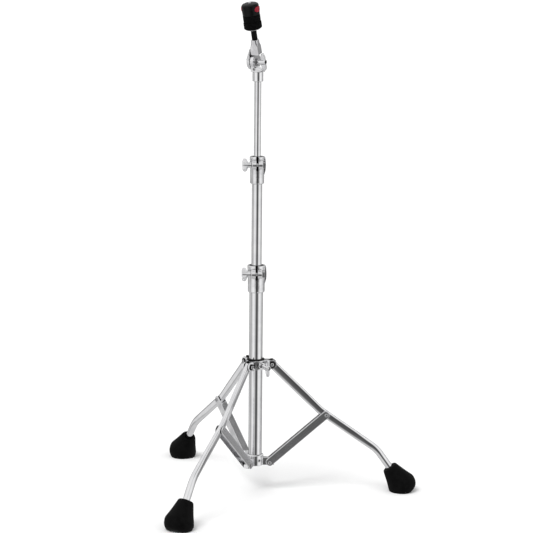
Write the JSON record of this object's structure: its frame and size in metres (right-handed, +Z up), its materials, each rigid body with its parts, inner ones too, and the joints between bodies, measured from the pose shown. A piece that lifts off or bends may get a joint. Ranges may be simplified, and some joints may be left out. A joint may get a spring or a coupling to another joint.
{
  "type": "straight cymbal stand",
  "caption": "Folding tripod stand with telescopic mast, C-clamp height joints, serrated tilter and quick-release cymbal seat.",
  "frame": {"origin": "on the floor, at the centre of the box round the three feet; the mast's axis stands at x = -0.0694, y = 0", "axes": "+Z up along the mast, +X along leg 1, -Y towards the viewer and the ears of the height joints"},
  "size_m": [0.4706, 0.5346, 0.9177],
  "materials": {
    "tube_chrome": "bright chrome plate on drawn tube and folded sheet, mirror smooth",
    "cast_chrome": "chrome plate on die castings, bright with soft edges",
    "plated_steel": "zinc-plated turned steel, slightly dull",
    "black_nylon": "black nylon, low sheen",
    "black_rubber": "black moulded rubber, faint mould texture",
    "black_felt": "dense black wool felt",
    "black_plastic": "black moulded plastic, satin",
    "red_plastic": "red moulded plastic, smooth"
  },
  "bodies": {
    "hub": {"hub_casting": "cast_chrome", "hub_bush": "black_nylon", "leg_bush_1": "black_nylon", "leg_rivet_1": "plated_steel", "leg_bush_2": "black_nylon", "leg_rivet_2": "plated_steel", "leg_bush_3": "black_nylon", "leg_rivet_3": "plated_steel"},
    "hub_screw": {"hub_wing_screw": "cast_chrome"},
    "leg_1": {"leg_1": "tube_chrome", "leg_cap_1": "black_nylon", "foot_1": "black_rubber"},
    "brace_1": {"brace_1": "tube_chrome", "brace_rivet_1": "plated_steel", "collar_rivet_1": "plated_steel"},
    "leg_2": {"leg_2": "tube_chrome", "leg_cap_2": "black_nylon", "foot_2": "black_rubber"},
    "brace_2": {"brace_2": "tube_chrome", "brace_rivet_2": "plated_steel", "collar_rivet_2": "plated_steel"},
    "leg_3": {"leg_3": "tube_chrome", "leg_cap_3": "black_nylon", "foot_3": "black_rubber"},
    "brace_3": {"brace_3": "tube_chrome", "brace_rivet_3": "plated_steel", "collar_rivet_3": "plated_steel"},
    "base": {"base_tube": "tube_chrome", "lower_collar": "cast_chrome", "collar_screw": "plated_steel", "lower_joint": "cast_chrome", "lower_bolt": "plated_steel"},
    "lower_nut": {"lower_wing_nut": "cast_chrome"},
    "lower_bush": {"lower_bush": "black_nylon"},
    "middle": {"middle_tube": "tube_chrome", "upper_joint": "cast_chrome", "upper_bolt": "plated_steel"},
    "upper_nut": {"upper_wing_nut": "cast_chrome"},
    "upper_bush": {"upper_bush": "black_nylon"},
    "top": {"top_tube": "tube_chrome", "tilter_bracket": "cast_chrome", "bracket_screw": "plated_steel"},
    "arm": {"tilter_arm": "cast_chrome", "tilter_bolt": "plated_steel", "tilter_washer": "plated_steel", "cymbal_rod": "plated_steel", "rod_sleeve": "black_nylon", "seat_washer": "plated_steel", "lower_felt": "black_felt"},
    "tilter_nut": {"tilter_wing_nut": "cast_chrome"},
    "quick_release": {"release_cap": "black_plastic", "release_plate": "black_plastic", "upper_felt": "black_felt"},
    "button_1": {"release_button_1": "red_plastic"},
    "button_2": {"release_button_2": "red_plastic"}
  },
  "joints": [
    {"name": "leg_1_fold", "type": "hinge", "parent": "hub", "child": "leg_1", "pos_m": [-0.03851, 0, 0.24542], "axis": [0, 1, 0], "range_deg": [-6, 42]},
    {"name": "brace_1_fold", "type": "hinge", "parent": "leg_1", "child": "brace_1", "pos_m": [0.06398, 0, 0.14792], "axis": [0, 1, 0], "range_deg": [-85.5, 12.3]},
    {"name": "leg_2_fold", "type": "hinge", "parent": "hub", "child": "leg_2", "pos_m": [-0.08441, 0.0265, 0.24542], "axis": [-0.866, -0.5, 0], "range_deg": [-6, 42]},
    {"name": "brace_2_fold", "type": "hinge", "parent": "leg_2", "child": "brace_2", "pos_m": [-0.13566, 0.11526, 0.14792], "axis": [-0.866, -0.5, 0], "range_deg": [-85.5, 12.3]},
    {"name": "leg_3_fold", "type": "hinge", "parent": "hub", "child": "leg_3", "pos_m": [-0.08441, -0.0265, 0.24542], "axis": [0.866, -0.5, 0], "range_deg": [-6, 42]},
    {"name": "brace_3_fold", "type": "hinge", "parent": "leg_3", "child": "brace_3", "pos_m": [-0.13566, -0.11526, 0.14792], "axis": [0.866, -0.5, 0], "range_deg": [-85.5, 12.3]},
    {"name": "collar_swing", "type": "hinge", "parent": "brace_1", "child": "base", "pos_m": [-0.04151, 0, 0.05591], "axis": [0, 1, 0], "range_deg": [-6.25, 43.4]},
    {"name": "hub_screw_turn", "type": "hinge", "parent": "hub", "child": "hub_screw", "pos_m": [-0.06911, 0, 0.24542], "axis": [0.5, -0.866, 0], "continuous": true},
    {"name": "lower_nut_turn", "type": "hinge", "parent": "base", "child": "lower_nut", "pos_m": [-0.08911, -0.02295, 0.41922], "axis": [-1, 0, 0], "continuous": true},
    {"name": "lower_swivel", "type": "hinge", "parent": "base", "child": "lower_bush", "pos_m": [-0.06911, 0, 0.42], "axis": [0, 0, 1], "continuous": true},
    {"name": "middle_slide", "type": "slide", "parent": "lower_bush", "child": "middle", "axis": [0, 0, 1], "range_m": [-0.145, 0.125]},
    {"name": "upper_nut_turn", "type": "hinge", "parent": "middle", "child": "upper_nut", "pos_m": [-0.08911, -0.02015, 0.62162], "axis": [-1, 0, 0], "continuous": true},
    {"name": "upper_swivel", "type": "hinge", "parent": "middle", "child": "upper_bush", "pos_m": [-0.06911, 0, 0.62], "axis": [0, 0, 1], "continuous": true},
    {"name": "top_slide", "type": "slide", "parent": "upper_bush", "child": "top", "axis": [0, 0, 1], "range_m": [-0.13, 0.145]},
    {"name": "tilt", "type": "hinge", "parent": "top", "child": "arm", "pos_m": [-0.06911, 0, 0.80821], "axis": [0.848, -0.5299, 0], "range_deg": [-106.3, 73.7]},
    {"name": "tilter_nut_turn", "type": "hinge", "parent": "arm", "child": "tilter_nut", "pos_m": [-0.06911, 0, 0.80821], "axis": [0.848, -0.5299, 0], "continuous": true},
    {"name": "quick_release_lift", "type": "slide", "parent": "arm", "child": "quick_release", "axis": [-0.1487, -0.238, 0.9598], "range_m": [0, 0.055]},
    {"name": "button_1_press", "type": "slide", "parent": "quick_release", "child": "button_1", "axis": [-0.848, 0.5299, 0], "range_m": [0, 0.0016], "stiffness_N_per_m": 600, "springref_m": -0.002},
    {"name": "button_2_press", "type": "slide", "parent": "quick_release", "child": "button_2", "axis": [0.848, -0.5299, 0], "range_m": [0, 0.0016], "stiffness_N_per_m": 600, "springref_m": -0.002}
  ],
  "couplings": [
    {"joint": "brace_1_fold", "follows": "leg_1_fold", "ratio": -2.0316},
    {"joint": "leg_2_fold", "follows": "leg_1_fold", "ratio": 1},
    {"joint": "brace_2_fold", "follows": "leg_1_fold", "ratio": -2.0316},
    {"joint": "leg_3_fold", "follows": "leg_1_fold", "ratio": 1},
    {"joint": "brace_3_fold", "follows": "leg_1_fold", "ratio": -2.0316},
    {"joint": "collar_swing", "follows": "leg_1_fold", "ratio": 1.0316}
  ]
}
